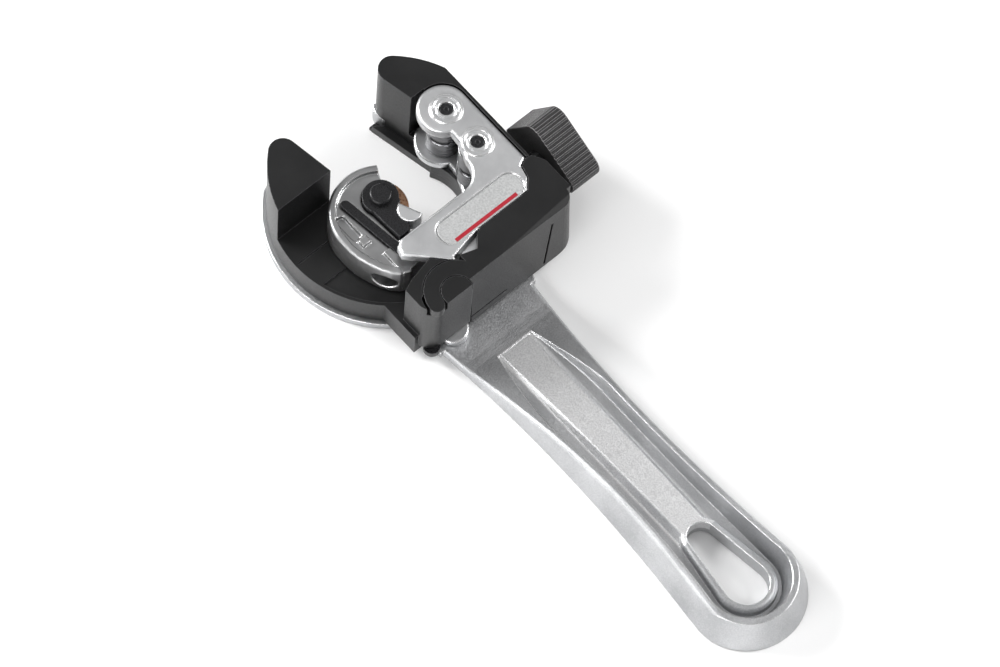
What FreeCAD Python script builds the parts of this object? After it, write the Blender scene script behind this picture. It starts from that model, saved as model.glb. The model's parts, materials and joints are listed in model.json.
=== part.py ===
import FreeCAD, Part
import math
import os

V = FreeCAD.Vector
UP = V(0, 0, 1)
OVER = 1.0            # how far cutting tools run past a face

# ---- driving dimensions, millimetres ---------------------------------------
TOP_Z = 37.5          # horn tips, cutter body face and hinge block face

# handle: open ring, thin neck under the swinging cradle, drafted grip
RING_OUT = 42.9
RING_IN = 32.0
RING_LIP_Z = 3.2
RIB_OUT = 38.2        # raised rib that carries the pawls
RIB_Z = 8.0
SEAT_R = 34.4         # recess under the ring for the retainer flange
SEAT_Z = 2.4
NECK_HALF = 20.6
NECK_X = 52.0
NECK_Z = 3.2
GRIP_START = 64.0
RISE_START = 61.0
RISE_LONG = 99.0
RISE_EASE = 0.05
END_R = 21.4
DRAFT = 0.30          # side slope of the grip, outward per millimetre down
SLOT_NEAR_X = 159.5
SLOT_NEAR_R = 5.2
SLOT_FAR_X = 181.0
SLOT_FAR_R = 8.0
COLLAR_NEAR = 2.4      # width of the raised collar round the hanging slot
COLLAR_FAR = 2.9
COLLAR_SOFT = 1.9

# mouth: the tube enters along -X between the two horns
MOUTH_UP = (-14.8, 21.7)
MOUTH_UP_DEG = 12.0
MOUTH_LOW = (-11.3, -16.6)
MOUTH_LOW_DEG = 9.0
RAIL_PROUD = 2.8      # retainer and hub stand this far into the mouth

# cradle
CRADLE_R = 41.3
SKIRT_IN = 38.6
SKIRT_Z = 3.6
HUB_Z = 4.1
RIB_CLEAR_Z = 8.3
FLOOR_Z = 15.0
NOTCH_Z = 10.0
ARM_Y = 38.1
TEETH = 48
TOOTH_DEPTH = 1.5
TOOTH_TIP_R = 31.6

# hinge block and gate pivot
PIVOT = (49.3, -13.2)
BOSS_R = 5.5
HOOK_R = 11.3
BLOCK_BOTTOM = 7.2
BLOCK_X = (35.5, 50.7)
BLOCK_Y = (-26.4, -7.4)
HOOK_Z = 33.6

# cutter body
PIN1 = (-3.94, 28.1)
PIN2 = (12.06, 28.1)
MID_X = 4.06          # line the cutting wheel moves along
BODY_LOW = 10.3
CHEEK = 2.9
UPPER_CHEEK_Z = 33.3
BODY_EDGE_Y = 36.7
BACK_X = 22.7
RIM_R = 1.0           # rounding of the plated rims
ROLLER_R = 6.3
ROLLER_PIN_R = 2.1

# slide and wheel
WHEEL_Y = -7.7
WHEEL_R = 9.8
WHEEL_Z = 22.0
SLIDE_C = (8.0, -11.0)
SLIDE_R = 17.6
SLIDE_LOW = 15.6
SLIDE_TOP = 29.6

# knob and feed screw
KNOB_X = 25.3
KNOB_Z = 21.4
KNOB_NEAR_Y = 45.3
KNOB_LONG = 12.3
KNOB_SIDE = 27.7
KNOB_SOFT = 5.2
KNOB_TURN = 29.0      # the flats lean this much from upright

# pawls, their pins and springs, in pockets of the rib
PAWL_DEG = (50.1, -32.4)     # pivot directions from +X
PAWL_PIVOT_R = 35.0
PAWL_SWEEP = 17.5            # angle from pivot to nose
PAWL_NOSE_R = 33.0
PAWL_HALF = 1.05
PAWL_BOSS_R = 2.0
PAWL_LOW = 4.3
PAWL_HIGH = 7.4
PAWL_PIN_R = 0.9
PAWL_PIN_LOW = 2.6
SPRING_BACK_R = 37.3

# round end of the way for the tube, and the screws of the retainer
THROAT_C = (7.5, 5.5)
THROAT_R = 17.2
RETAINER_SCREWS = ((28.0, 3.0), (20.0, -20.0), (-6.0, -26.0), (-6.0, 26.0))

# gate
STOP_PIN = (48.4, -21.6)
GATE_IN_X = 47.0
GATE_OUT_X = 50.4
GATE_TOP_X = 48.7
GATE_END_Y = 41.2
GATE_LOW_Z = 4.3
FACET_Y = 6.0         # the shallow facet on the gate fades in from here
FACET_LEAN = 4.4

# way through the cutter body for the slide and its leg
CHANNEL_X = (BACK_X - OVER, 30.8)
CHANNEL_Z = (15.2, 29.9)
FLARE_X = 32.3        # wider start of that way, for the outside of the slide
LEG_X = (20.0, 30.4)

# guide bar, wheel arm, insert and pins
GUIDE_LOW = 27.1      # stays above the flange of the feed screw
ARM_LOW = 23.6
ARM_TOP = 30.6
INSERT_C = (14.2, -3.4)
INSERT_R = 4.4
WHEEL_PIN_R = 2.35

# feed screw and its bore
SPRING_BORE_R = 3.9
SCREW_R = 2.4
FLANGE_Y = -9.8


# ---- helpers ---------------------------------------------------------------
def cyl(x, y, r, z0, z1):
    """Upright cylinder between two heights."""
    return Part.makeCylinder(r, z1 - z0, V(x, y, z0))


def cyl_y(x, z, r, y0, y1):
    """Cylinder along +Y."""
    return Part.makeCylinder(r, y1 - y0, V(x, y0, z), V(0, 1, 0))


def box(x0, x1, y0, y1, z0, z1):
    return Part.makeBox(x1 - x0, y1 - y0, z1 - z0, V(x0, y0, z0))


def tube(x, y, r_in, r_out, z0, z1):
    return cyl(x, y, r_out, z0, z1).cut(cyl(x, y, r_in, z0 - OVER, z1 + OVER))


def prism(points, z0, z1):
    """Straight-sided prism over a closed run of plan points."""
    ring = [V(x, y, z0) for x, y in points]
    wire = Part.makePolygon(ring + [ring[0]])
    return Part.Face(wire).extrude(V(0, 0, z1 - z0))


def side_prism(points, y0, y1):
    """Prism along +Y over a closed run of (x, z) points."""
    ring = [V(x, y0, z) for x, z in points]
    wire = Part.makePolygon(ring + [ring[0]])
    return Part.Face(wire).extrude(V(0, y1 - y0, 0))


def bar(a, b, r, z0, z1):
    """Plan shape of a bar with round ends, from point a to point b."""
    dx, dy = b[0] - a[0], b[1] - a[1]
    run = math.hypot(dx, dy)
    nx, ny = -dy / run * r, dx / run * r
    flat = prism([(a[0] + nx, a[1] + ny), (b[0] + nx, b[1] + ny),
                  (b[0] - nx, b[1] - ny), (a[0] - nx, a[1] - ny)], z0, z1)
    return flat.fuse([cyl(a[0], a[1], r, z0, z1), cyl(b[0], b[1], r, z0, z1)]).removeSplitter()


def taper(a, ra, b, rb, z0, z1):
    """Hull of two circles whose centres share a line along X."""
    run = b[0] - a[0]
    lean = math.asin((rb - ra) / run)
    up = V(-math.sin(lean), math.cos(lean), 0)
    pts = []
    for (cx, cy), r, s in ((a, ra, 1), (b, rb, 1), (b, rb, -1), (a, ra, -1)):
        pts.append((cx + up.x * r, cy + s * up.y * r))
    ends = [cyl(a[0], a[1], ra, z0, z1), cyl(b[0], b[1], rb, z0, z1)]
    return prism(pts, z0, z1).fuse(ends).removeSplitter()


def half_plane(point, deg, side, z0, z1, reach=120.0):
    """Large slab on one side (+1 above, -1 below) of a line through a point."""
    slab = box(-reach, reach, 0, reach, z0, z1) if side > 0 else box(-reach, reach, -reach, 0, z0, z1)
    slab.rotate(V(0, 0, 0), UP, deg)
    slab.translate(V(point[0], point[1], 0))
    return slab


def shift_normal(point, deg, by):
    a = math.radians(deg)
    return (point[0] - math.sin(a) * by, point[1] + math.cos(a) * by)


def mouth_cut(low, up, z0, z1):
    """Wedge-shaped mouth between two lines, open towards -X and closed at the throat."""
    above_low = half_plane(low, MOUTH_LOW_DEG, 1, z0, z1)
    below_up = half_plane(up, MOUTH_UP_DEG, -1, z0, z1)
    return above_low.common(below_up)


def round_edges(shape, r, pick):
    """Fillet the picked edges, at the largest of a few radii that holds."""
    edges = [e for e in shape.Edges if pick(e)]
    for share in (1.0, 0.7, 0.4):
        try:
            rounded = shape.makeFillet(r * share, edges)
            if rounded.isValid():
                return rounded
        except Part.OCCError:
            continue
    print("CHECK no fillet of", r, "on", len(edges), "edges")
    return shape


def upright(e):
    """True for straight edges that run along Z."""
    if e.Curve.TypeId != "Part::GeomLine":
        return False
    a, b = e.Vertexes[0].Point, e.Vertexes[-1].Point
    return abs(a.x - b.x) < 1e-4 and abs(a.y - b.y) < 1e-4


def near(e, x, y, reach=1.0):
    c = e.CenterOfMass
    return math.hypot(c.x - x, c.y - y) < reach


def save(name, shape):
    solid = shape.removeSplitter()
    if solid.ShapeType == "Compound" and len(solid.Solids) == 1:
        solid = solid.Solids[0]
    if len(solid.Solids) != 1 or not solid.isValid():
        print("CHECK", name, "solids", len(solid.Solids), "valid", solid.isValid())
    solid.exportStep(os.path.join("parts", name + ".step"))
    bb = solid.BoundBox
    print("%-18s %7.1f..%-7.1f %7.1f..%-7.1f %6.1f..%-6.1f v=%.0f" % (
        name, bb.XMin, bb.XMax, bb.YMin, bb.YMax, bb.ZMin, bb.ZMax, solid.Volume))


# ---- handle ----------------------------------------------------------------
def rise(x):
    """0 at the neck, 1 where the grip has reached its full height, with an eased start."""
    t = min(max((x - RISE_START) / RISE_LONG, 0.0), 1.0)
    eased = t * t * (1 + RISE_EASE) / (t + RISE_EASE)
    return math.sin(eased * math.pi / 2)


def half_bottom(x):
    """Half width of the handle at its underside."""
    waist_x = 110.0
    if x < waist_x:
        return 17.5 + 3.1 * ((waist_x - x) / 58.0) ** 2
    return 17.5 + 3.9 * ((min(x, SLOT_FAR_X) - waist_x) / 71.0) ** 2


def crest_z(x):
    return NECK_Z + 10.4 * rise(x)


def panel_z(x):
    return NECK_Z + 4.7 * rise(x)


def floor_z(x):
    return NECK_Z - 0.2 + 1.4 * rise(x)


def section(x, points):
    """Closed section at x, from its +Y half, lowest point first."""
    pts = [V(x, y, z) for y, z in points] + [V(x, -y, z) for y, z in reversed(points)]
    return Part.makePolygon(pts + [pts[0]])


def loft_along(xs, half_points):
    return Part.makeLoft([section(x, half_points(x)) for x in xs], True, True)


def grip_points(x):
    w, h = half_bottom(x), crest_z(x)
    top = w - DRAFT * h
    soft = 0.35 * h / 10.0 + 0.5
    return [(w - 0.9, -0.6), (w - 0.9, 0.0), (w - 0.15, 0.7), (top + 0.25 * soft, h - 1.3 * soft),
            (top - 0.45 * soft, h - 0.4 * soft), (top - 1.5 * soft, h)]


def flute_points(x):
    """Trough between the crests, a point at the neck and wider towards the grip."""
    spread = math.sin(min(max((x - GRIP_START) / 34.0, 0.0), 1.0) * math.pi / 2)
    low = 7.0 + 3.9 * spread + 1.3 * max(0.0, (x - 140.0) / 41.0)
    lift = crest_z(x) - floor_z(x)
    widest = half_bottom(x) - DRAFT * crest_z(x) - 2.3
    lean = min(0.42, max(0.05, (widest - low) / max(lift, 0.5)))
    return [(low, floor_z(x)), (low + lean * (lift + 4.0), floor_z(x) + lift + 4.0)]


def panel_points(x):
    h = panel_z(x) - 0.04
    along = min(max((x - GRIP_START) / 86.0, 0.0), 1.0)
    top, base = 6.0 - 1.6 * along, 8.0 - 0.5 * along
    return [(base, 0.5), (base, min(NECK_Z - 0.3, floor_z(x))), (top + 0.5, h - 0.45), (top, h)]


def frange(a, b, n):
    return [a + (b - a) * i / (n - 1.0) for i in range(n)]


def handle():
    mouth = mouth_cut(MOUTH_LOW, MOUTH_UP, -OVER, 20).common(box(-60, 0, -60, 60, -OVER, 20))
    plan = tube(0, 0, RING_IN, RING_OUT, 0, RIB_Z).cut(mouth)
    plan = round_edges(plan, 5.6, lambda e: upright(e) and e.Vertexes[0].Point.x < -20
                       and math.hypot(e.CenterOfMass.x, e.CenterOfMass.y) > RING_OUT - 1.0)
    ring = plan.cut(tube(0, 0, RIB_OUT, RING_OUT + OVER, RING_LIP_Z, RIB_Z + OVER))
    ring = ring.cut(cyl(0, 0, SEAT_R, -OVER, SEAT_Z))
    rf = 12.0
    arm = RING_OUT + rf
    cy = NECK_HALF + rf + 0.4
    cx = math.sqrt(arm ** 2 - cy ** 2)
    tx, ty = cx * RING_OUT / arm, cy * RING_OUT / arm
    web = prism([(30, -20), (tx, -ty), (cx, -ty + 2), (cx + 10, -NECK_HALF), (cx + 10, NECK_HALF),
                 (cx, ty - 2), (tx, ty), (30, 20)], 0, NECK_Z)
    for s in (1, -1):
        web = web.cut(cyl(cx, s * cy, rf, -OVER, 20))
    web = web.cut(cyl(0, 0, RING_IN + 3.5, -OVER, 20)).common(box(0, NECK_X, -40, 40, 0, 20))
    grip = loft_along([cx - 2.0, 50] + frange(57, 85, 9) + frange(92, 204, 17), grip_points)
    grip = grip.cut(cyl(0, 0, RING_IN + 3.5, -OVER, 40))
    cap = Part.makeCone(END_R, END_R - DRAFT * 20, 20, V(SLOT_FAR_X, 0, 0))
    grip = grip.common(cap.fuse(box(20, SLOT_FAR_X, -60, 60, 0, 20)))
    body = ring.fuse([web, grip])
    trough = loft_along(frange(GRIP_START + 1.5, SLOT_FAR_X, 16), flute_points)
    low, high = flute_points(SLOT_FAR_X)
    trough_end = Part.makeCone(low[0], high[0], high[1] - low[1], V(SLOT_FAR_X, 0, low[1]))
    body = body.cut(trough).cut(trough_end)
    panel = loft_along(frange(GRIP_START + 1.0, SLOT_NEAR_X, 12), panel_points)
    rim_z = panel_z(SLOT_FAR_X)
    near_r, far_r = SLOT_NEAR_R + COLLAR_NEAR, SLOT_FAR_R + COLLAR_FAR
    rim = taper((SLOT_NEAR_X, 0), near_r, (SLOT_FAR_X, 0), far_r, 0.5, rim_z)
    rim = round_edges(rim, COLLAR_SOFT, lambda e: e.CenterOfMass.z > rim_z - 0.01)
    body = body.fuse([panel.common(box(20, SLOT_NEAR_X, -20, 20, 0, 20)), rim])
    slot = taper((SLOT_NEAR_X, 0), SLOT_NEAR_R, (SLOT_FAR_X, 0), SLOT_FAR_R, -OVER, 30)
    body = body.cut(slot)
    for deg in PAWL_DEG:
        body = body.cut(pawl_pocket(deg))
    return body.cut(box(-60, 260, -60, 60, -5, 0))


# ---- pawls in the rib of the ring ------------------------------------------


def polar(r, deg):
    a = math.radians(deg)
    return (r * math.cos(a), r * math.sin(a))


def pawl_pocket(deg):
    pivot, nose = polar(PAWL_PIVOT_R, deg), polar(PAWL_NOSE_R, deg - PAWL_SWEEP)
    lifted = polar(PAWL_NOSE_R + 1.5, deg - PAWL_SWEEP)
    pocket = bar(pivot, nose, PAWL_HALF + 0.5, RING_LIP_Z, RIB_Z + OVER)
    pocket = pocket.fuse(bar(pivot, lifted, PAWL_HALF + 0.6, RING_LIP_Z, RIB_Z + OVER))
    pocket = pocket.fuse(cyl(pivot[0], pivot[1], PAWL_BOSS_R + 0.4, RING_LIP_Z, RIB_Z + OVER))
    mid = deg - PAWL_SWEEP * 0.62
    hole = Part.makeCylinder(1.3, 4.5, V(*polar(SPRING_BACK_R - 4.5, mid), 5.5), V(*polar(1, mid), 0))
    pin = cyl(pivot[0], pivot[1], PAWL_PIN_R, PAWL_PIN_LOW, 5)
    inwards = polar(PAWL_NOSE_R - 3.0, deg - PAWL_SWEEP - 1.5)
    window = bar(nose, inwards, PAWL_HALF + 1.0, RING_LIP_Z, RIB_Z + OVER)
    return pocket.fuse([hole, pin, window.common(tube(0, 0, 30.0, 34.0, 0, 20))])


def pawl(deg):
    pivot, nose = polar(PAWL_PIVOT_R, deg), polar(PAWL_NOSE_R, deg - PAWL_SWEEP)
    body = bar(pivot, nose, PAWL_HALF, PAWL_LOW, PAWL_HIGH)
    body = body.fuse(cyl(pivot[0], pivot[1], PAWL_BOSS_R, PAWL_LOW, PAWL_HIGH))
    tip = [polar(33.3, deg - PAWL_SWEEP - 1.3), polar(30.65, deg - PAWL_SWEEP - 2.0),
           polar(31.45, deg - PAWL_SWEEP + 0.4), polar(32.6, deg - PAWL_SWEEP + 1.0)]
    body = body.fuse(prism(tip, PAWL_LOW, PAWL_HIGH))
    return body.cut(cyl(pivot[0], pivot[1], PAWL_PIN_R + 0.06, 0, 10))


def pawl_pin(deg):
    x, y = polar(PAWL_PIVOT_R, deg)
    return cyl(x, y, PAWL_PIN_R, PAWL_PIN_LOW, PAWL_HIGH + 0.3)


def coil(start, axis, r, wire, turns, length):
    """Round-wire compression coil starting at a point."""
    helix = Part.makeHelix(length / turns, length, r)
    profile = Part.Wire([Part.makeCircle(wire / 2.0, V(r, 0, 0), V(0, 1, 0))])
    spring = Part.Wire(helix.Edges).makePipeShell([profile], True, True)
    spring.Placement = FreeCAD.Placement(V(*start), FreeCAD.Rotation(UP, V(*axis)))
    return spring


def pawl_spring(deg):
    mid = deg - PAWL_SWEEP * 0.62
    inner_r = PAWL_PIVOT_R - 0.62 * (PAWL_PIVOT_R - PAWL_NOSE_R) + PAWL_HALF - 0.2
    x, y = polar(inner_r + 0.35, mid)
    length = SPRING_BACK_R - 0.4 - inner_r - 0.35
    return coil((x, y, 5.5), polar(1, mid) + (0,), 0.8, 0.3, 4, length)


# ---- retainer under the ring -----------------------------------------------


def throat(z0, z1):
    """U-shaped way for the tube, from -X to the round end."""
    low = shift_normal(MOUTH_LOW, MOUTH_LOW_DEG, RAIL_PROUD)
    up = shift_normal(MOUTH_UP, MOUTH_UP_DEG, -RAIL_PROUD)
    lane = mouth_cut(low, up, z0, z1).common(box(-60, THROAT_C[0] - 9, -60, 60, z0, z1))
    neck = prism([(THROAT_C[0] - 9.2, 20.1), (THROAT_C[0] - 2.5, 22.0), (THROAT_C[0], 0),
                  (THROAT_C[0] - 2.5, -10.9), (THROAT_C[0] - 9.2, -12.2)], z0, z1)
    return lane.fuse([neck, cyl(THROAT_C[0], THROAT_C[1], THROAT_R, z0, z1)])


def retainer():
    plate = cyl(0, 0, SEAT_R - 0.3, 0.3, SEAT_Z - 0.3).fuse(cyl(0, 0, RING_IN - 0.35, 0.0, HUB_Z - 0.05))
    plate = plate.cut(throat(-OVER, 10))
    plate = plate.cut(box(-60, -28.2, -60, 60, -OVER, 10))
    for x, y in RETAINER_SCREWS:
        plate = plate.cut(cyl(x, y, 1.6, -OVER, 10)).cut(cyl(x, y, 3.1, -OVER, 1.9))
    return plate


def retainer_screws():
    screws = []
    for x, y in RETAINER_SCREWS:
        screw = cyl(x, y, 2.8, 0.2, 1.9).fuse(cyl(x, y, 1.5, 1.9, 9.0))
        hexagon = [(x + 1.4 * math.cos(math.radians(a)), y + 1.4 * math.sin(math.radians(a)))
                   for a in range(0, 360, 60)]
        screws.append(screw.cut(prism(hexagon, 0, 1.3)))
    return Part.makeCompound(screws)


# ---- cradle ----------------------------------------------------------------
def body_plan(grow, z0, z1):
    """Plan of the cutter body, grown outwards by a gap, between two heights."""
    g = grow
    outline = [(-4.9, 24.4 - g), (8.2, 23.6 - g), (14.7, 20.7 - g), (BACK_X - g, 12.7),
               (BACK_X - g, -15.4 - 0.4 * g), (24.2 - 0.5 * g, -17.8 - 0.9 * g), (27.4 + 0.4 * g, -18.6 - g),
               (43.4 + g, -3.4 - g), (44.2 + g, -1.5), (44.2 + g, BODY_EDGE_Y + g), (-4.9, BODY_EDGE_Y + g)]
    plan = prism(outline, z0, z1)
    corner = prism([(14.0, 12.0), (14.0, 21.2), (BACK_X - g, 21.2), (BACK_X - g, 12.0)], z0, z1)
    corner = corner.cut(cyl(14.7, 12.7, 8.0 + g, z0 - OVER, z1 + OVER)).common(
        box(14.7, 60, 12.7, 60, z0, z1))
    nose = cyl(-4.9, 27.6, 9.1 + g, z0, z1)
    second = cyl(PIN2[0], PIN2[1], 5.9 + g, z0, z1)
    cut_back = cyl(14.7, 12.7, 8.0 - g, z0 - OVER, z1 + OVER)
    return plan.fuse([nose, second, corner]).cut(cut_back).removeSplitter()


def teeth_ring(z0, z1):
    """Ratchet teeth round the hub, saw-tooth shaped."""
    root = TOOTH_TIP_R - TOOTH_DEPTH
    pitch = 360.0 / TEETH
    pts = []
    for i in range(TEETH):
        pts.append(polar(root, i * pitch))
        pts.append(polar(TOOTH_TIP_R, (i + 0.70) * pitch))
        pts.append(polar(TOOTH_TIP_R, (i + 0.85) * pitch))
    return prism(pts, z0, z1)


def cradle():
    top = TOP_Z
    disc = cyl(0, 0, CRADLE_R, SKIRT_Z, top)
    right = box(0, 46, -28.1, ARM_Y, SKIRT_Z, top)
    lug = box(30, 45.6, -28.1, -20, SKIRT_Z, FLOOR_Z)
    blank = disc.fuse([right, lug]).cut(box(-16.2, 60, ARM_Y, 60, 0, 60))
    blank = blank.cut(tube(0, 0, RING_IN - 0.45, SKIRT_IN, 0, RIB_CLEAR_Z))
    blank = blank.cut(cyl(0, 0, RING_IN - 0.4, 0, RIB_CLEAR_Z))
    blank = blank.fuse(teeth_ring(HUB_Z, RIB_CLEAR_Z + 0.5))
    # everything above the tray floor goes, save horns, arm strip and hinge block
    above = box(-11.4, 60, -60, 60, FLOOR_Z, top + OVER)
    keep_arm = box(-20, 46, BODY_EDGE_Y - 6, ARM_Y, FLOOR_Z, top)
    above = above.cut(keep_arm)
    blank = blank.cut(above)
    blank = blank.cut(body_plan(0.35, NOTCH_Z, top + OVER))
    blank = blank.cut(box(-14.7, 8, 12, 27.5, NOTCH_Z, top + OVER))
    # tray step and moulding lines of the floor
    blank = blank.cut(box(11.3, 36, -60, -10, FLOOR_Z - 0.6, top).common(cyl(0, 0, CRADLE_R - 1.2, 0, 60)))
    blank = blank.cut(box(-0.25, 0.25, -CRADLE_R + 1.2, -24, FLOOR_Z - 0.35, FLOOR_Z + OVER))
    # mouth and throat
    blank = blank.cut(throat(0, top + OVER))
    open_mouth = half_plane(MOUTH_LOW, MOUTH_LOW_DEG, 1, HUB_Z - OVER, top + OVER)
    open_mouth = open_mouth.common(half_plane(MOUTH_UP, MOUTH_UP_DEG, -1, HUB_Z - OVER, top + OVER))
    blank = blank.cut(open_mouth.common(box(-60, -8.0, -60, 60, 0, 60)))
    blank = round_edges(blank, 5.0, lambda e: upright(e) and e.Vertexes[0].Point.x < -20
                        and math.hypot(e.CenterOfMass.x, e.CenterOfMass.y) > CRADLE_R - 1.0)
    # hinge block, then the pockets that run into it
    blank = blank.fuse(hinge_block())
    blank = blank.cut(body_plan(0.35, NOTCH_Z, top + OVER))
    blank = blank.cut(cyl(PIVOT[0] - 0.6, PIVOT[1], 5.8, 0, BLOCK_BOTTOM))
    for x, y in (PIN1, PIN2):
        blank = blank.cut(cyl(x, y, ROLLER_R + 0.5, NOTCH_Z, top))
    blank = blank.cut(gate_top(0.4, HOOK_Z - 0.4, top + OVER))
    blank = blank.cut(cyl_y(KNOB_X, KNOB_Z, SCREW_R + 0.5, BODY_EDGE_Y - 1, ARM_Y + OVER))
    for x, y in RETAINER_SCREWS:
        blank = blank.cut(cyl(x, y, 1.56, 0, 9.2))
    return blank


def hinge_block():
    x0, x1 = BLOCK_X
    y0, y1 = BLOCK_Y
    block = prism([(x0 + 2.7, y0), (x1, y0), (x1, y1), (x0, y1), (x0 - 1.6, y1 - 3.5), (x0 + 1.0, y0 + 4)],
                  BLOCK_BOTTOM, TOP_Z)
    block = round_edges(block, 6.0, lambda e: upright(e) and near(e, x1, y0))
    block = block.cut(cyl(0, 0, SKIRT_IN, 0, RIB_CLEAR_Z))
    groove = tube(PIVOT[0], PIVOT[1], BOSS_R, HOOK_R + 0.35, HOOK_Z - 0.35, TOP_Z + OVER)
    tail_gap = tube(PIVOT[0], PIVOT[1], BOSS_R, HOOK_R + 1.0, HOOK_Z - 1.0, TOP_Z + OVER)
    tail_gap = tail_gap.common(box(43.5, 60, -40, -18.2, 0, 60))
    tail_gap = tail_gap.cut(box(46.5, 52.0, -40, -18, 0, HOOK_Z - 0.35))
    pin = cyl(PIVOT[0] - 0.9, PIVOT[1], 1.65, 0, 31)
    stop = cyl(STOP_PIN[0], STOP_PIN[1], 2.0, 0, 26)
    block = block.cut(groove).cut(tail_gap)
    return block.cut(pin).cut(stop)


def hinge_pin():
    head = cyl(PIVOT[0] - 0.6, PIVOT[1], 5.4, 3.7, BLOCK_BOTTOM - 0.3)
    head = head.makeFillet(0.8, [e for e in head.Edges if e.CenterOfMass.z < 4])
    return head.fuse(cyl(PIVOT[0] - 0.9, PIVOT[1], 1.6, BLOCK_BOTTOM - 0.3, 30.8))


def stop_pin():
    x, y = STOP_PIN
    head = cyl(x + 0.7, y - 1.3, 3.0, 3.5, BLOCK_BOTTOM - 0.3)
    head = head.makeFillet(1.2, [e for e in head.Edges if e.CenterOfMass.z < 4])
    return head.fuse(cyl(x, y, 1.9, BLOCK_BOTTOM - 0.3, 25.5))


# ---- gate ------------------------------------------------------------------


def gate_top(grow, z0, z1):
    g = grow
    plan = prism([(39.8 - g, -4.0 - g), (GATE_TOP_X + g, -4.0 - g), (GATE_TOP_X + g, GATE_END_Y + g),
                  (31.8 - g, GATE_END_Y + g), (27.4 - g, 38.8 + g), (26.9 - g, 36.4),
                  (28.4 - g, 33.6 - g), (33.0 - 0.6 * g, 32.4 - g), (36.6 - g, 29.0), (36.6 - g, 8.0),
                  (37.6 - g, 5.6 - 0.5 * g), (41.8 - 0.7 * g, 2.0 - g)], z0, z1)
    return plan


def gate():
    x_hook = PIVOT[0]
    slot_half = 0.45
    slot_lean = -7.0
    corner_r = 9.5
    hook = tube(x_hook, PIVOT[1], BOSS_R + 0.3, HOOK_R, HOOK_Z, TOP_Z)
    hook = hook.cut(box(x_hook - 0.6, 80, -60, PIVOT[1], 0, 60)).cut(box(x_hook + 1.3, 80, -60, 60, 0, 60))
    mid = (BOSS_R + 0.3 + HOOK_R) / 2.0
    tail = cyl(x_hook - 0.6, PIVOT[1] - mid, (HOOK_R - BOSS_R - 0.3) / 2.0, HOOK_Z, TOP_Z)
    top = gate_top(0, HOOK_Z, TOP_Z).cut(cyl(x_hook, PIVOT[1], BOSS_R + 0.3, 0, 60))
    side = [(GATE_IN_X, GATE_LOW_Z), (GATE_OUT_X, GATE_LOW_Z), (GATE_TOP_X, TOP_Z), (GATE_IN_X - 2, TOP_Z),
            (GATE_IN_X - 2, TOP_Z - 2.5), (GATE_IN_X, TOP_Z - 4.5)]
    wall = side_prism(side, -6.2, GATE_END_Y)
    end = box(31.8, GATE_OUT_X, ARM_Y + 0.45, GATE_END_Y, GATE_LOW_Z + 4.0, TOP_Z)
    outside = side_prism([(GATE_OUT_X, 0), (GATE_TOP_X, TOP_Z), (60, TOP_Z), (60, 0)], BLOCK_Y[1] + 0.1, 50)
    shell = wall.fuse([end, top, hook, tail]).cut(cyl(x_hook, PIVOT[1], BOSS_R + 0.3, 0, HOOK_Z + 1))
    shell = shell.cut(outside)
    round_x = GATE_OUT_X - 6.0
    round_y = GATE_END_Y - 6.0
    outer_corner = box(round_x, 60, round_y, 60, 0, 60)
    outer_corner = outer_corner.cut(Part.makeCone(6.0, 4.2, TOP_Z + 2, V(round_x, round_y, -1)))
    shell = shell.cut(outer_corner)
    # snap finger slot, lower relief slot, rounded lower corner and the shallow top facet
    finger = box(GATE_IN_X - 1, 60, -slot_half, slot_half, 5.5, 31)
    finger.rotate(V(0, 0, 30), V(1, 0, 0), slot_lean)
    finger.translate(V(0, 29.4, 0))
    relief = box(GATE_IN_X + 1.6, 60, -7, 9.6, 8.0, 8.9)
    corner_y = GATE_END_Y - corner_r
    corner_z = GATE_LOW_Z + corner_r
    corner = box(40, 60, corner_y, 50, 0, corner_z)
    corner = corner.cut(Part.makeCylinder(corner_r, 30, V(40, corner_y, corner_z), V(1, 0, 0)))
    far_x = GATE_TOP_X + 14
    facet = side_prism([(GATE_TOP_X, TOP_Z + 0.02), (far_x, TOP_Z + 0.02), (far_x, TOP_Z - 5)], 0, 60)
    facet.rotate(V(GATE_TOP_X, FACET_Y, 0), UP, FACET_LEAN)
    return shell.cut(finger).cut(relief).cut(corner).cut(facet)


# ---- cutter body -----------------------------------------------------------


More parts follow.
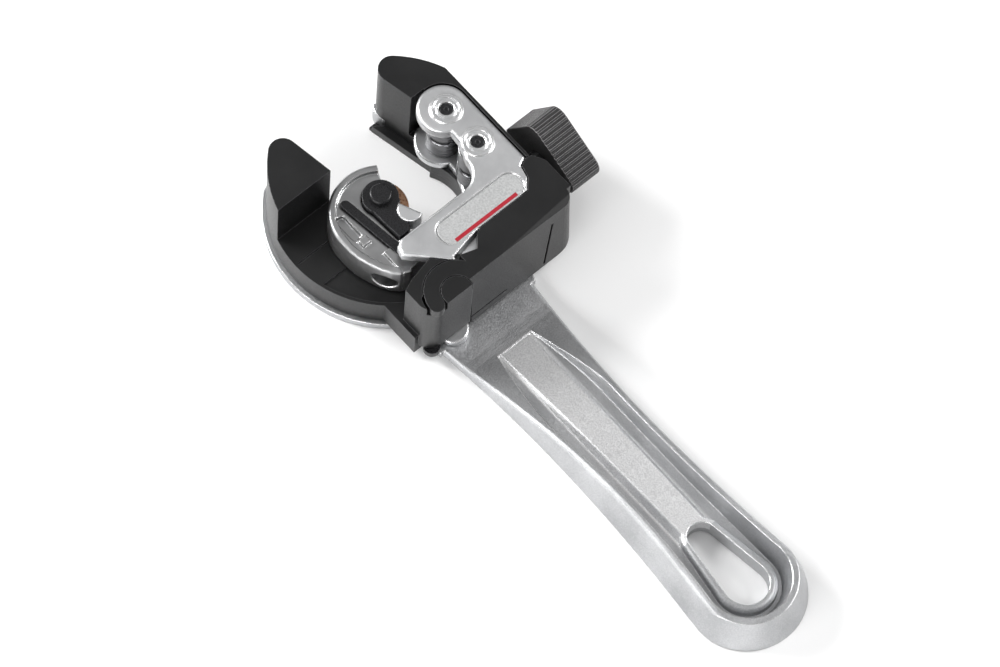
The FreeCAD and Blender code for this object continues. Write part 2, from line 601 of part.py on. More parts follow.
def cutter_body():
    upper = body_plan(0, UPPER_CHEEK_Z, TOP_Z)
    upper = round_edges(upper, RIM_R, lambda e: e.CenterOfMass.z > TOP_Z - 0.01)
    lower = body_plan(0, BODY_LOW, BODY_LOW + CHEEK)
    spine = body_plan(0, BODY_LOW, TOP_Z - RIM_R).common(box(BACK_X, 60, -2.0, 60, 0, 60))
    back = body_plan(0, BODY_LOW, TOP_Z - RIM_R).cut(box(-60, BACK_X + 1, -60, 34.9, 0, 60)).common(
        box(-5, 60, 0, 60, 0, 60))
    nose_wall = body_plan(0, BODY_LOW, TOP_Z - RIM_R).common(box(-20, -4.0, 29.5, 60, 0, 60))
    nose_wall = nose_wall.cut(cyl(PIN1[0], PIN1[1], ROLLER_R + 0.6, 0, 60))
    body = upper.fuse([lower, spine, back, nose_wall]).removeSplitter()
    channel = box(CHANNEL_X[0], CHANNEL_X[1], -30, 33.6, CHANNEL_Z[0], CHANNEL_Z[1])
    flare = box(CHANNEL_X[1] - OVER, FLARE_X, -30, 3.0, CHANNEL_Z[0], CHANNEL_Z[1])
    body = body.cut(channel).cut(flare)
    body = body.cut(gate_top(0.4, UPPER_CHEEK_Z - 0.4, TOP_Z + 5))
    body = body.cut(cyl(PIVOT[0], PIVOT[1], HOOK_R + 0.4, UPPER_CHEEK_Z - 0.4, TOP_Z + 5))
    body = body.cut(prism([(39.0, -6.0), (36.2, 7.6), (46, 7.6), (50, -6.0)], UPPER_CHEEK_Z - 0.4, TOP_Z + 5))
    for x, y in (PIN1, PIN2):
        body = body.fuse(cyl(x, y, 5.5, UPPER_CHEEK_Z, TOP_Z + 0.45))
        body = body.cut(cyl(x, y, 2.55, TOP_Z - 0.5, TOP_Z + 5))
        body = body.cut(cyl(x, y, ROLLER_PIN_R + 0.04, 0, 60))
        body = body.cut(tube(x, y, 3.6, 4.3, TOP_Z + 0.2, TOP_Z + 5))
    pocket = box(26.4, 36.1, -5.2, 30.2, TOP_Z - 0.7, TOP_Z + 5)
    pocket = round_edges(pocket, 4.5, upright)
    pocket = pocket.fuse(box(31, 36.1, -0.5, 26, TOP_Z - 0.7, TOP_Z + 5))
    body = body.cut(pocket)
    return body.cut(cyl_y(KNOB_X, KNOB_Z, SCREW_R + 0.08, 20, 60))


def label_plate():
    plate = box(26.8, 36.0, -4.8, 29.8, TOP_Z - 0.65, TOP_Z - 0.3)
    return round_edges(plate, 4.1, upright)


def roller():
    """Grooved steel roller, made at the origin height of its pin."""
    low, high = BODY_LOW + CHEEK + 0.35, UPPER_CHEEK_Z - 0.35
    body = cyl(0, 0, ROLLER_R, low, high)
    mid = (low + high) / 2.0
    groove = Part.makeTorus(ROLLER_R + 1.2, 2.0, V(0, 0, mid), UP)
    body = body.cut(groove).cut(cyl(0, 0, ROLLER_PIN_R + 0.05, 0, 60))
    return body


def roller_pin():
    pin = cyl(0, 0, ROLLER_PIN_R, BODY_LOW + 0.1, TOP_Z - 0.05)
    return pin.cut(cyl(0, 0, 0.8, TOP_Z - 0.5, TOP_Z + 1))


def at(shape, point):
    moved = shape.copy()
    moved.translate(V(point[0], point[1], 0))
    return moved


# ---- slide and wheel -------------------------------------------------------


def crescent(grow, z0, z1):
    """Plan of the slide's rounded outside, shrunk by a wall thickness."""
    r = SLIDE_R - grow
    round_part = cyl(SLIDE_C[0], SLIDE_C[1], r, z0, z1)
    outer = [(12.5, -28.6), (16.5, -28.0), (20.8, -26.6), (24.6, -25.0), (27.6, -23.1), (29.8, -20.9),
             (31.2, -18.3), (31.6, -15.0)]
    keel = prism([(SLIDE_C[0], SLIDE_C[1] - r)] + [(x - 0.45 * grow, y + 0.9 * grow) for x, y in outer]
                 + [(31.6 - grow, -13.0), (SLIDE_C[0], -8)], z0, z1)
    return round_part.fuse(keel).removeSplitter()


def slide():
    wall = 2.6
    shell = crescent(0, SLIDE_LOW, SLIDE_TOP)
    shell = round_edges(shell, RIM_R, lambda e: e.CenterOfMass.z > SLIDE_TOP - 0.01)
    floor_top = SLIDE_TOP - 1.6
    hollow = crescent(wall, floor_top, SLIDE_TOP + OVER)
    shell = shell.cut(hollow)
    # open side towards the tube: clear the wheel and everything beyond the hook
    bite = half_plane((-6.4, -0.6), -24.0, 1, 0, 60).common(box(-60, 60, -60, 60, 0, 60))
    shell = shell.cut(bite)
    shell = shell.cut(cyl(MID_X, WHEEL_Y, WHEEL_R + 0.8, WHEEL_Z - 1.6, WHEEL_Z + 1.6))
    under_arm = cyl(MID_X + 3, WHEEL_Y + 1.5, 7.4, 0, ARM_LOW)
    shell = shell.cut(under_arm.common(box(-60, 60, WHEEL_Y + 1.0, 60, 0, 60)))
    arm_nest = wheel_arm_plan(0.35, ARM_LOW - 0.3, 60)
    shell = shell.cut(arm_nest)
    leg = box(LEG_X[0], LEG_X[1], -20, 12.5, SLIDE_LOW, CHANNEL_Z[1] - 0.65)
    shell = shell.cut(box(BACK_X - 0.6, 60, -19.9, 60, SLIDE_TOP - 0.3, 60))
    shell = shell.fuse(leg)
    # groove for the guide bar, shallow pocket beside it, and the spring bore
    shell = shell.cut(bar((-1.6, -18.2), (24.0, -14.9), 1.9, GUIDE_LOW - 0.15, SLIDE_TOP + OVER))
    pocket = box(0.2, 10.4, -24.6, -21.2, SLIDE_TOP - 3.5, SLIDE_TOP + OVER)
    shell = shell.cut(round_edges(pocket, 1.0, upright))
    shell = shell.fuse(box(11.4, 14.2, -23.8, -20.4, floor_top - 1, SLIDE_TOP - 0.1))
    shell = shell.cut(cyl_y(KNOB_X, KNOB_Z, SPRING_BORE_R, -60, 9.5))
    shell = shell.cut(cyl_y(KNOB_X, KNOB_Z, SCREW_R + 0.06, -60, 60))
    shell = shell.cut(cyl(MID_X, WHEEL_Y, WHEEL_PIN_R + 0.03, 0, 60))
    return shell


def wheel_arm_plan(grow, z0, z1):
    g = grow
    head = cyl(MID_X, WHEEL_Y, 6.2 + g, z0, z1)
    tail = prism([(MID_X - 2.4, WHEEL_Y - 5.8 - g), (19.6 + g, -12.6 - g), (19.6 + g, -8.0 + g),
                  (MID_X + 4.0, WHEEL_Y + 4.6 + g)], z0, z1)
    return head.fuse(tail).removeSplitter()


def wheel_arm():
    arm = wheel_arm_plan(0, ARM_LOW, ARM_TOP)
    seat = cyl(INSERT_C[0], INSERT_C[1], INSERT_R + 0.15, ARM_LOW - OVER, ARM_TOP + OVER)
    arm = arm.cut(seat)
    return arm.cut(cyl(MID_X, WHEEL_Y, WHEEL_PIN_R + 0.03, 0, 60))


def insert():
    half = cyl(INSERT_C[0], INSERT_C[1], INSERT_R, ARM_LOW + 1.0, ARM_TOP + 0.35)
    return half.cut(half_plane((9.8, -4.9), 24.0, 1, 0, 60))


def cutting_wheel():
    edge = 0.12
    hub = 1.1
    pts = [(WHEEL_PIN_R + 0.05, -hub), (4.6, -hub), (5.4, -0.75), (WHEEL_R, -edge),
           (WHEEL_R, edge), (5.4, 0.75), (4.6, hub), (WHEEL_PIN_R + 0.05, hub)]
    ring = [V(r, 0, z) for r, z in pts]
    face = Part.Face(Part.makePolygon(ring + [ring[0]]))
    wheel = face.revolve(V(0, 0, 0), UP, 360)
    wheel.translate(V(MID_X, WHEEL_Y, WHEEL_Z))
    return wheel


def wheel_pin():
    head = cyl(MID_X, WHEEL_Y, 3.9, ARM_TOP + 0.05, 33.0)
    head = head.makeFillet(0.9, [e for e in head.Edges if e.CenterOfMass.z > 32.5])
    return head.fuse(cyl(MID_X, WHEEL_Y, WHEEL_PIN_R, SLIDE_LOW + 0.2, ARM_TOP + 0.05))


def guide_bar():
    return bar((-1.6, -18.2), (23.6, -15.0), 1.55, GUIDE_LOW, SLIDE_TOP - 0.5)


# ---- feed ------------------------------------------------------------------


def feed_spring():
    return coil((KNOB_X, FLANGE_Y + 0.5, KNOB_Z), (0, 1, 0), 3.1, 0.7, 8, 9.5 - FLANGE_Y - 1.0)


def feed_screw():
    """Long screw: flange in the slide's bore, thread through its cap, knob outside."""
    screw = cyl_y(KNOB_X, KNOB_Z, SCREW_R, FLANGE_Y, KNOB_NEAR_Y + 4.0)
    screw = screw.fuse(cyl_y(KNOB_X, KNOB_Z, SPRING_BORE_R - 0.3, FLANGE_Y - 1.5, FLANGE_Y))
    pitch = 2.0
    for i in range(10):
        y = 13.6 + i * pitch
        screw = screw.cut(Part.makeTorus(SCREW_R + 0.2, 0.45, V(KNOB_X, y, KNOB_Z), V(0, 1, 0)))
    screw = screw.fuse(cyl_y(KNOB_X, KNOB_Z, 4.2, KNOB_NEAR_Y - 4.4, KNOB_NEAR_Y - 0.1))
    return screw.cut(cyl_y(KNOB_X, KNOB_Z, 1.3, KNOB_NEAR_Y - 2, KNOB_NEAR_Y + 10))


def knob():
    y0, y1 = KNOB_NEAR_Y, KNOB_NEAR_Y + KNOB_LONG
    block = Part.makeBox(KNOB_SIDE, KNOB_LONG, KNOB_SIDE, V(-KNOB_SIDE / 2, y0, -KNOB_SIDE / 2))
    along = [e for e in block.Edges if abs(e.Vertexes[0].Point.y - e.Vertexes[-1].Point.y) > 1]
    block = block.makeFillet(KNOB_SOFT, along)
    block = block.makeFillet(1.1, [e for e in block.Edges if abs(e.CenterOfMass.y - y1) < 1e-3])
    cuts = []
    pitch = 1.9
    count = 6
    for quarter in range(4):
        for i in range(-count, count + 1):
            off = i * pitch
            edge = KNOB_SIDE / 2
            if abs(off) > edge - KNOB_SOFT:
                t = (abs(off) - (edge - KNOB_SOFT)) / KNOB_SOFT
                edge = edge - KNOB_SOFT * (1 - math.cos(math.asin(min(t, 0.9))))
            rib = cyl_y(off, edge + 0.25, 0.62, y0 - OVER, y1 + OVER)
            rib.rotate(V(0, 0, 0), V(0, 1, 0), 90 * quarter)
            cuts.append(rib)
    block = block.cut(Part.makeCompound(cuts))
    block = block.cut(cyl_y(0, 0, SCREW_R + 0.02, y0 - OVER, y0 + 4.3))
    block = block.cut(cyl_y(0, 0, 1.6, y0, y1 + OVER)).cut(cyl_y(0, 0, 3.4, y1 - 2.4, y1 + OVER))
    block.rotate(V(0, 0, 0), V(0, 1, 0), KNOB_TURN)
    block.translate(V(KNOB_X, 0, KNOB_Z))
    return block


def knob_screw():
    y1 = KNOB_NEAR_Y + KNOB_LONG
    screw = cyl_y(KNOB_X, KNOB_Z, 3.1, y1 - 2.3, y1 - 0.3)
    screw = screw.fuse(cyl_y(KNOB_X, KNOB_Z, 1.25, KNOB_NEAR_Y - 1.6, y1 - 2.3))
    slot = box(KNOB_X - 2.4, KNOB_X + 2.4, y1 - 1.1, y1 + 1, KNOB_Z - 0.35, KNOB_Z + 0.35)
    return screw.cut(slot)


# ---- write every node ------------------------------------------------------
def main():
    os.makedirs("parts", exist_ok=True)
    save("handle", handle())
    save("cradle", cradle())
    save("retainer", retainer())
    save("retainer_screws", retainer_screws())
    for name, deg in zip(("a", "b"), PAWL_DEG):
        save("pawl_" + name, pawl(deg))
        save("pawl_pin_" + name, pawl_pin(deg))
        save("pawl_spring_" + name, pawl_spring(deg))
    save("gate", gate())
    save("hinge_pin", hinge_pin())
    save("stop_pin", stop_pin())
    save("cutter_body", cutter_body())
    save("label_plate", label_plate())
    for name, point in (("a", PIN1), ("b", PIN2)):
        save("roller_" + name, at(roller(), point))
        save("roller_pin_" + name, at(roller_pin(), point))
    save("slide", slide())
    save("wheel_arm", wheel_arm())
    save("insert", insert())
    save("cutting_wheel", cutting_wheel())
    save("wheel_pin", wheel_pin())
    save("guide_bar", guide_bar())
    save("feed_spring", feed_spring())
    save("feed_screw", feed_screw())
    save("knob", knob())
    save("knob_screw", knob_screw())


main()
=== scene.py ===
import json
import math

import bpy
from mathutils import Matrix, Vector


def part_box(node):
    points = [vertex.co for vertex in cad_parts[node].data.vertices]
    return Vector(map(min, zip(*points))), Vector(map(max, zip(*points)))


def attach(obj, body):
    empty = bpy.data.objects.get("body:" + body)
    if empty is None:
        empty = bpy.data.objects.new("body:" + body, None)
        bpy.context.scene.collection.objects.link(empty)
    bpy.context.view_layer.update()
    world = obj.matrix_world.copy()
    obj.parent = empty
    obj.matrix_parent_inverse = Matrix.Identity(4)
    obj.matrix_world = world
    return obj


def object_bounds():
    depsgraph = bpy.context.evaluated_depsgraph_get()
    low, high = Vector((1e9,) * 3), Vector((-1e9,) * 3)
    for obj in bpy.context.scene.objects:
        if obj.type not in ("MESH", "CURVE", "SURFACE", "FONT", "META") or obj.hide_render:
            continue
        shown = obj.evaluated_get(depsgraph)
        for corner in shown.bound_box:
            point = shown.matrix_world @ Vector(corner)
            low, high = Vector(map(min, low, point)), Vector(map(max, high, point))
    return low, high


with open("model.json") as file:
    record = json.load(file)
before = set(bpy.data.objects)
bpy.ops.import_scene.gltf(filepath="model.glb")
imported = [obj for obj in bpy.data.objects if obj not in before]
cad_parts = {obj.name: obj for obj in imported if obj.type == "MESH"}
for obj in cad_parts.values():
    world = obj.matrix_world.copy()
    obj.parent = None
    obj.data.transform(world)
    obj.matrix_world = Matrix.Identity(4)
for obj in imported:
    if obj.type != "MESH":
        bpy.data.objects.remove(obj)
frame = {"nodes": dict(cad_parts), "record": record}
cad_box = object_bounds()
NODES = frame["nodes"]
MM = 0.001


# ---- camera ----------------------------------------------------------------
CAMERA_AZ = 43.321
CAMERA_EL = 65.237
CAMERA_ROLL = 6.029
CAMERA_AIM = (38.233, -40.563)    # sideways offset of the optical axis, mm
CAMERA_AWAY = 2039.912            # distance along the axis, mm
SENSOR = 36.0
LENS = 216.0
CLIP_END = 50.0                   # metres


def add_camera():
    az, el, roll = (math.radians(a) for a in (CAMERA_AZ, CAMERA_EL, CAMERA_ROLL))
    back = Vector((math.sin(az) * math.cos(el), -math.cos(az) * math.cos(el), math.sin(el)))
    right = Vector((math.cos(az), math.sin(az), 0.0))
    up = back.cross(right)
    c, s = math.cos(roll), math.sin(roll)
    x_axis = right * c + up * s
    y_axis = up * c - right * s
    place = (x_axis * CAMERA_AIM[0] + y_axis * CAMERA_AIM[1] + back * CAMERA_AWAY) * MM
    data = bpy.data.cameras.new("camera")
    data.sensor_width = SENSOR
    data.lens = LENS
    data.clip_end = CLIP_END
    cam = bpy.data.objects.new("camera", data)
    bpy.context.collection.objects.link(cam)
    cam.matrix_world = Matrix((
        (x_axis.x, y_axis.x, back.x, place.x),
        (x_axis.y, y_axis.y, back.y, place.y),
        (x_axis.z, y_axis.z, back.z, place.z),
        (0, 0, 0, 1)))
    bpy.context.scene.camera = cam


# ---- light and floor -------------------------------------------------------
ROOM_POWER = 1.0
# grey of the surroundings at each height, from the horizon (0) to straight overhead (1)
ROOM_TONES = ((0.0, 1.0), (0.16, 0.9), (0.34, 0.14), (0.70, 0.18), (0.84, 0.50), (1.0, 0.62))
# each lamp: name, place, the point it faces, size, power in watts
LAMPS = (
    ("key", (-0.78, -0.42, 0.62), (0.03, 0, 0.02), (0.45, 0.45), 14.0),
    ("fill", (0.45, 0.75, 0.7), (0.08, 0, 0.02), (0.5, 0.4), 7.0),
    ("front", (0.25, -0.95, 0.45), (0.08, 0, 0.02), (0.9, 0.25), 7.0),
)
FLOOR_TONE = 0.93
FLOOR_ROUGH = 0.8
FLOOR_GLOSS = 0.1
FLOOR_REACH = 3.0
FLOOR_DROP = 0.0002     # gap under the part, so the floor never shares a plane with it


def add_area(name, where, aim, size, power):
    data = bpy.data.lights.new(name, "AREA")
    data.shape = "RECTANGLE"
    data.size, data.size_y = size
    data.energy = power
    lamp = bpy.data.objects.new(name, data)
    bpy.context.collection.objects.link(lamp)
    lamp.location = where
    lamp.rotation_euler = (Vector(aim) - Vector(where)).to_track_quat("-Z", "Y").to_euler()


def add_room():
    """Soft room: white at and below the horizon, dark half way up, paler overhead."""
    world = bpy.data.worlds.new("studio")
    bpy.context.scene.world = world
    world.use_nodes = True
    tree = world.node_tree
    coords = tree.nodes.new("ShaderNodeTexCoord")
    parts = tree.nodes.new("ShaderNodeSeparateXYZ")
    tree.links.new(coords.outputs["Generated"], parts.inputs["Vector"])
    shade = tree.nodes.new("ShaderNodeValToRGB")
    ramp = shade.color_ramp
    while len(ramp.elements) < len(ROOM_TONES):
        ramp.elements.new(0.5)
    for element, (height, tone) in zip(ramp.elements, ROOM_TONES):
        element.position = height
        element.color = (tone, tone, tone, 1)
    tree.links.new(parts.outputs["Z"], shade.inputs["Fac"])
    backdrop = tree.nodes["Background"]
    backdrop.inputs["Strength"].default_value = ROOM_POWER
    tree.links.new(shade.outputs["Color"], backdrop.inputs["Color"])


def add_floor():
    mesh = bpy.data.meshes.new("floor")
    r = FLOOR_REACH
    corners = [(-r, -r, 0), (r, -r, 0), (r, r, 0), (-r, r, 0)]
    mesh.from_pydata(corners, [], [(0, 1, 2, 3)])
    floor = bpy.data.objects.new("floor", mesh)
    bpy.context.collection.objects.link(floor)
    floor.location.z = cad_box[0][2] - FLOOR_DROP
    mat = bpy.data.materials.new("floor_paper")
    mat.use_nodes = True
    shader = mat.node_tree.nodes["Principled BSDF"]
    shader.inputs["Base Color"].default_value = (FLOOR_TONE, FLOOR_TONE, FLOOR_TONE, 1)
    shader.inputs["Roughness"].default_value = FLOOR_ROUGH
    shader.inputs["Specular IOR Level"].default_value = FLOOR_GLOSS
    floor.data.materials.append(mat)


def add_studio():
    add_room()
    for lamp in LAMPS:
        add_area(*lamp)
    bpy.context.scene.view_settings.view_transform = "Standard"
    add_floor()


# ---- materials -------------------------------------------------------------
class Look:
    """A small builder for one procedural material."""

    def __init__(self, name, metallic, rim=0.4):
        self.mat = bpy.data.materials.new(name)
        self.mat.use_nodes = True
        self.tree = self.mat.node_tree
        self.shader = self.tree.nodes["Principled BSDF"]
        self.shader.inputs["Metallic"].default_value = metallic
        self.coords = self.tree.nodes.new("ShaderNodeTexCoord")
        self.soft = self.tree.nodes.new("ShaderNodeBevel")
        self.soft.samples = 6
        self.soft.inputs["Radius"].default_value = rim * MM
        self.normal = self.soft.outputs["Normal"]
        self.tree.links.new(self.normal, self.shader.inputs["Normal"])

    def math(self, kind, a, b=None):
        node = self.tree.nodes.new("ShaderNodeMath")
        node.operation = kind
        for slot, value in zip(node.inputs, (a, b)):
            if value is None:
                continue
            if isinstance(value, (int, float)):
                slot.default_value = value
            else:
                self.tree.links.new(value, slot)
        return node.outputs["Value"]

    def edge(self, start=0.02, end=0.16):
        """1 on sharp edges, 0 on flats, from how far the softened normal leans."""
        flat = self.tree.nodes.new("ShaderNodeNewGeometry")
        dot = self.tree.nodes.new("ShaderNodeVectorMath")
        dot.operation = "DOT_PRODUCT"
        self.tree.links.new(self.soft.outputs["Normal"], dot.inputs[0])
        self.tree.links.new(flat.outputs["Normal"], dot.inputs[1])
        lean = self.math("SUBTRACT", 1.0, dot.outputs["Value"])
        return self.ramp(lean, 0.0, 1.0, start, end)

    def noise(self, scale, detail=3.0, stretch=None):
        tex = self.tree.nodes.new("ShaderNodeTexNoise")
        tex.inputs["Scale"].default_value = scale
        tex.inputs["Detail"].default_value = detail
        source = self.coords.outputs["Object"]
        if stretch:
            mapping = self.tree.nodes.new("ShaderNodeMapping")
            mapping.inputs["Scale"].default_value = stretch
            self.tree.links.new(source, mapping.inputs["Vector"])
            source = mapping.outputs["Vector"]
        self.tree.links.new(source, tex.inputs["Vector"])
        return tex.outputs["Fac"]

    def ramp(self, source, low, high, start=0.35, end=0.65):
        node = self.tree.nodes.new("ShaderNodeMapRange")
        node.inputs["From Min"].default_value = start
        node.inputs["From Max"].default_value = end
        node.inputs["To Min"].default_value = low
        node.inputs["To Max"].default_value = high
        self.tree.links.new(source, node.inputs["Value"])
        return node.outputs["Result"]

    def tones(self, source, a, b, start=0.35, end=0.65):
        """Colour that runs from a to b as the source rises."""
        node = self.tree.nodes.new("ShaderNodeValToRGB")
        node.color_ramp.elements[0].position = start
        node.color_ramp.elements[0].color = (*a, 1)
        node.color_ramp.elements[1].position = end
        node.color_ramp.elements[1].color = (*b, 1)
        self.tree.links.new(source, node.inputs["Fac"])
        return node.outputs["Color"]

    def blend(self, mask, under, over):
        """The under colour, with the over colour where the mask is 1."""
        node = self.tree.nodes.new("ShaderNodeMix")
        node.data_type = "RGBA"
        self.tree.links.new(mask, node.inputs[0])
        for slot, value in ((node.inputs[6], under), (node.inputs[7], over)):
            if isinstance(value, tuple):
                slot.default_value = (*value, 1)
            else:
                self.tree.links.new(value, slot)
        return node.outputs[2]

    def colour(self, source):
        self.tree.links.new(source, self.shader.inputs["Base Color"])

    def rough(self, source):
        self.tree.links.new(source, self.shader.inputs["Roughness"])

    def bump(self, source, strength, distance):
        node = self.tree.nodes.new("ShaderNodeBump")
        node.inputs["Strength"].default_value = strength
        node.inputs["Distance"].default_value = distance
        self.tree.links.new(source, node.inputs["Height"])
        self.tree.links.new(self.normal, node.inputs["Normal"])
        self.normal = node.outputs["Normal"]
        self.tree.links.new(self.normal, self.shader.inputs["Normal"])

    def place(self):
        parts = self.tree.nodes.new("ShaderNodeSeparateXYZ")
        self.tree.links.new(self.coords.outputs["Object"], parts.inputs["Vector"])
        return parts.outputs


# The raised middle strip of the handle, in metres
PANEL_HALF = 0.0078        # half its width
PANEL_X = (0.0635, 0.158)  # where its finish starts and ends along the handle
PANEL_FLOOR = 0.0029       # lowest height that takes the finish
PANEL_FADE = 0.0009        # width over which the finish fades out sideways
PANEL_RISE = 0.003         # length over which it fades in at the neck


def cast_look():
    """Blasted cast aluminium, brighter on the raised middle strip, with painted highlights along its edges
    and crests.
    """
    look = Look("cast_aluminium", 1.0, 0.7)
    x, y, z = look.place()
    strip = look.ramp(look.math("ABSOLUTE", y), 1.0, 0.0, PANEL_HALF - PANEL_FADE, PANEL_HALF)
    strip = look.math("MULTIPLY", strip, look.ramp(x, 0.0, 1.0, PANEL_X[0], PANEL_X[0] + PANEL_RISE))
    strip = look.math("MULTIPLY", strip, look.math("LESS_THAN", x, PANEL_X[1]))
    strip = look.math("MULTIPLY", strip, look.math("GREATER_THAN", z, PANEL_FLOOR))
    coarse = look.noise(2300.0, 2.0)
    fine = look.noise(4200.0, 2.0)
    cloud = look.noise(55.0, 4.0)
    speck = look.math("ADD", look.math("MULTIPLY", cloud, 0.5), look.math("MULTIPLY", coarse, 0.5))
    plain = look.tones(speck, (0.41, 0.415, 0.425), (0.60, 0.605, 0.615), 0.38, 0.62)
    bright = look.tones(coarse, (0.74, 0.74, 0.745), (0.96, 0.96, 0.965))
    rim = look.edge()
    # painted highlight: the rims are painted near white
    look.colour(look.blend(rim, look.blend(strip, plain, bright), (0.93, 0.93, 0.93)))
    grain = look.ramp(coarse, 0.36, 0.50)
    look.rough(look.math("SUBTRACT", grain, look.math("MULTIPLY", rim, 0.2)))
    look.bump(coarse, 0.42, 0.00016)
    look.bump(fine, 0.30, 0.00006)
    return look.mat


def black_look():
    """Fine-grained black moulding with painted highlights along its edges."""
    look = Look("black_moulding", 0.0, 0.35)
    look.shader.inputs["Specular IOR Level"].default_value = 0.42
    grain = look.noise(2600.0, 2.0)
    cloud = look.noise(60.0, 4.0)
    body = look.tones(cloud, (0.0045, 0.0045, 0.0048), (0.0085, 0.0085, 0.0088))
    # painted highlight: edges painted paler than the black body
    look.colour(look.blend(look.edge(), body, (0.075, 0.075, 0.078)))
    look.rough(look.ramp(grain, 0.30, 0.42))
    look.bump(grain, 0.16, 0.00008)
    return look.mat


def silver_look():
    """Satin nickel: fine grain on the flats, polished where edges round over, with a painted highlight
    there.
    """
    look = Look("satin_nickel", 1.0, 1.2)
    grain = look.noise(3000.0, 2.0)
    cloud = look.noise(80.0, 3.0)
    body = look.tones(cloud, (0.66, 0.665, 0.675), (0.78, 0.785, 0.795))
    rim = look.edge()
    # painted highlight: rounded edges painted near white
    look.colour(look.blend(rim, body, (0.96, 0.96, 0.96)))
    flat = look.ramp(grain, 0.30, 0.44)
    look.rough(look.math("SUBTRACT", flat, look.math("MULTIPLY", rim, 0.16)))
    look.bump(grain, 0.32, 0.00008)
    return look.mat


def slide_look():
    """The slide's plating, darker than the body's, partly as a duller finish and partly as painted shade for
    its recessed top, with painted highlights along its rims.
    """
    look = Look("dull_shaded_nickel", 1.0, 0.9)
    grain = look.noise(3000.0, 2.0)
    cloud = look.noise(90.0, 3.0)
    # painted shade: base tone set well below the body's silver, partly for a duller finish
    body = look.tones(cloud, (0.36, 0.362, 0.366), (0.46, 0.462, 0.466))
    rim = look.edge()
    # painted highlight: rims painted near white
    look.colour(look.blend(rim, body, (0.95, 0.95, 0.95)))
    flat = look.ramp(grain, 0.28, 0.42)
    look.rough(look.math("SUBTRACT", flat, look.math("MULTIPLY", rim, 0.14)))
    look.bump(grain, 0.24, 0.00007)
    return look.mat


def steel_look():
    """Oiled black steel with turning marks and painted highlights on its edges."""
    look = Look("dark_steel", 0.3, 0.3)
    marks = look.noise(2400.0, 2.0, (1, 1, 4))
    body = look.tones(marks, (0.009, 0.009, 0.010), (0.016, 0.016, 0.0175))
    # painted highlight: edges painted paler than the dark steel
    look.colour(look.blend(look.edge(), body, (0.12, 0.12, 0.125)))
    look.rough(look.ramp(marks, 0.24, 0.4))
    look.bump(marks, 0.12, 0.00004)
    return look.mat


def roller_look():
    """Bright ground roller steel with rings of wear round its axis, its base painted dark as shade under the
    boss, with painted highlights on its edges.
    """
    look = Look("roller_steel", 1.0, 0.4)
    rings = look.noise(500.0, 3.0, (0.2, 0.2, 9))
    # painted shade: dark base tone for the roller sitting under the boss
    body = look.tones(rings, (0.13, 0.13, 0.135), (0.26, 0.26, 0.27))
    # painted highlight: edges painted pale
    look.colour(look.blend(look.edge(), body, (0.8, 0.8, 0.8)))
    look.rough(look.ramp(rings, 0.2, 0.36))
    look.bump(rings, 0.12, 0.00005)
    return look.mat


def wheel_look():
    """Copper-brown cutting wheel, brighter at its edge, partly as worn metal and partly as a painted
    highlight.
    """
    look = Look("cutting_edge", 1.0, 0.3)
    grain = look.noise(1200.0, 3.0)
    body = look.tones(grain, (0.26, 0.14, 0.085), (0.42, 0.25, 0.16))
    # painted highlight, partly worn metal: the edge painted pale copper
    look.colour(look.blend(look.edge(), body, (0.8, 0.66, 0.55)))
    look.rough(look.ramp(grain, 0.26, 0.42))
    look.bump(grain, 0.12, 0.00004)
    return look.mat


def knob_look():
    """Dark grey moulding, with painted highlights along the crests of its ribs."""
    look = Look("knob_plastic", 0.0, 0.3)
    grain = look.noise(2200.0, 2.0)
    body = look.tones(grain, (0.015, 0.0145, 0.015), (0.026, 0.025, 0.0255))
    # painted highlight: rib crests painted pale grey
    look.colour(look.blend(look.edge(0.01, 0.12), body, (0.40, 0.39, 0.395)))
    look.rough(look.ramp(grain, 0.36, 0.52))
    look.bump(grain, 0.18, 0.00008)
    return look.mat


def label_look():
    """Pale metallic plate with a fine speckle and painted highlights on its edges."""
    look = Look("label_paint", 0.55, 0.2)
    grain = look.noise(1700.0, 2.0)
    body = look.tones(grain, (0.46, 0.465, 0.465), (0.60, 0.605, 0.605))
    # painted highlight: edges painted paler than the plate
    look.colour(look.blend(look.edge(), body, (0.85, 0.85, 0.85)))
    look.rough(look.ramp(grain, 0.32, 0.5))
    look.bump(grain, 0.15, 0.00005)
    return look.mat


def stripe_look():
    """Red printed stripe."""
    look = Look("stripe_red", 0.0, 0.15)
    grain = look.noise(1900.0, 2.0)
    look.colour(look.tones(grain, (0.28, 0.008, 0.018), (0.37, 0.014, 0.028)))
    look.rough(look.ramp(grain, 0.3, 0.45))
    look.bump(grain, 0.1, 0.00004)
    return look.mat


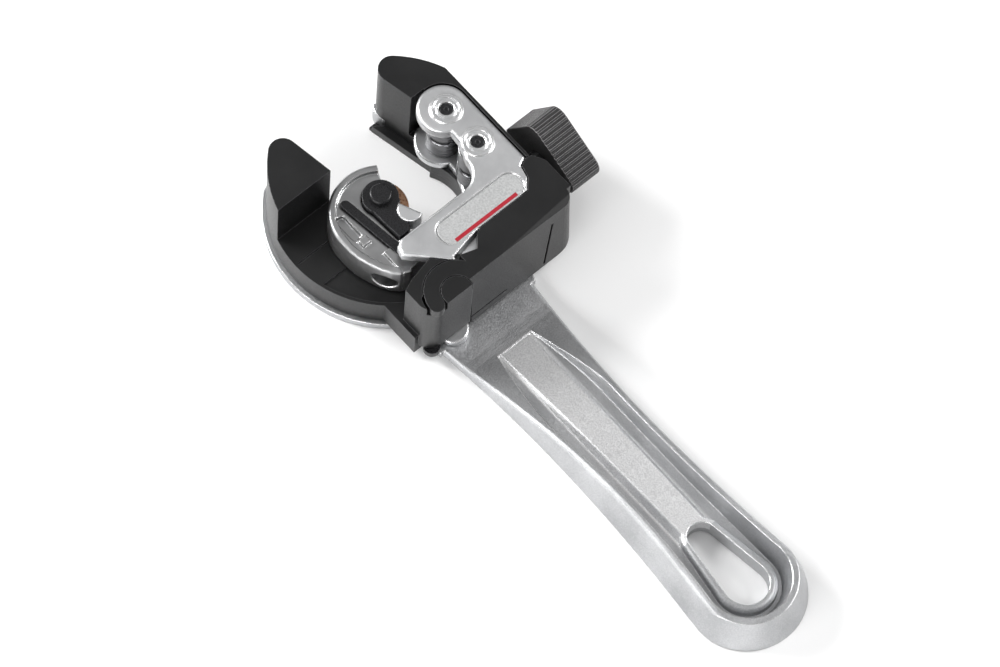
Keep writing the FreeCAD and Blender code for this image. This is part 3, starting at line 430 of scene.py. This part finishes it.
def spring_look():
    """Drawn spring wire."""
    look = Look("spring_wire", 1.0, 0.15)
    marks = look.noise(1500.0, 3.0, (1, 5, 1))
    look.colour(look.tones(marks, (0.42, 0.42, 0.43), (0.62, 0.62, 0.63)))
    look.rough(look.ramp(marks, 0.2, 0.36))
    look.bump(marks, 0.12, 0.00004)
    return look.mat


# nodes whose look differs from that of their material slot
SPECIAL = {"roller_a": "roller", "roller_b": "roller", "slide": "slide", "feed_spring": "spring",
           "pawl_spring_a": "spring", "pawl_spring_b": "spring"}


def dress():
    looks = {"cast": cast_look(), "black": black_look(), "silver": silver_look(), "dark_steel": steel_look(),
             "wheel": wheel_look(), "knob": knob_look(), "label": label_look(), "roller": roller_look(),
             "spring": spring_look(), "slide": slide_look()}
    slots = {part["node"]: part["material_slot"] for part in frame["record"]["subparts"]}
    for name, obj in NODES.items():
        obj.data.materials.clear()
        obj.data.materials.append(looks[SPECIAL.get(name, slots[name])])


# ---- stripe printed on the label plate -------------------------------------
STRIPE_X = (34.2, 35.6)
STRIPE_Y = (-1.4, 25.6)
STRIPE_LIFT = 0.02      # gap over the plate
STRIPE_THICK = 0.06
STRIPE_INSET = 0.03     # how far its top edges step in


def slab(name, xs, ys, z0, z1, material):
    """Thin block in millimetres with slightly chamfered top edges."""
    points = []
    for z, inset in ((z0, 0.0), (z1, STRIPE_INSET)):
        x0, x1 = xs[0] + inset, xs[1] - inset
        y0, y1 = ys[0] + inset, ys[1] - inset
        points += [(x * MM, y * MM, z * MM) for x, y in ((x0, y0), (x1, y0), (x1, y1), (x0, y1))]
    sides = [(i, (i + 1) % 4, (i + 1) % 4 + 4, i + 4) for i in range(4)]
    faces = [(3, 2, 1, 0), (4, 5, 6, 7)] + sides
    mesh = bpy.data.meshes.new(name)
    mesh.from_pydata(points, [], faces)
    obj = bpy.data.objects.new(name, mesh)
    bpy.context.collection.objects.link(obj)
    obj.data.materials.append(material)
    return obj


def add_stripe():
    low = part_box("label_plate")[1][2] / MM + STRIPE_LIFT
    stripe = slab("label_stripe", STRIPE_X, STRIPE_Y, low, low + STRIPE_THICK, stripe_look())
    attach(stripe, "head")


add_camera()
add_studio()
dress()
add_stripe()
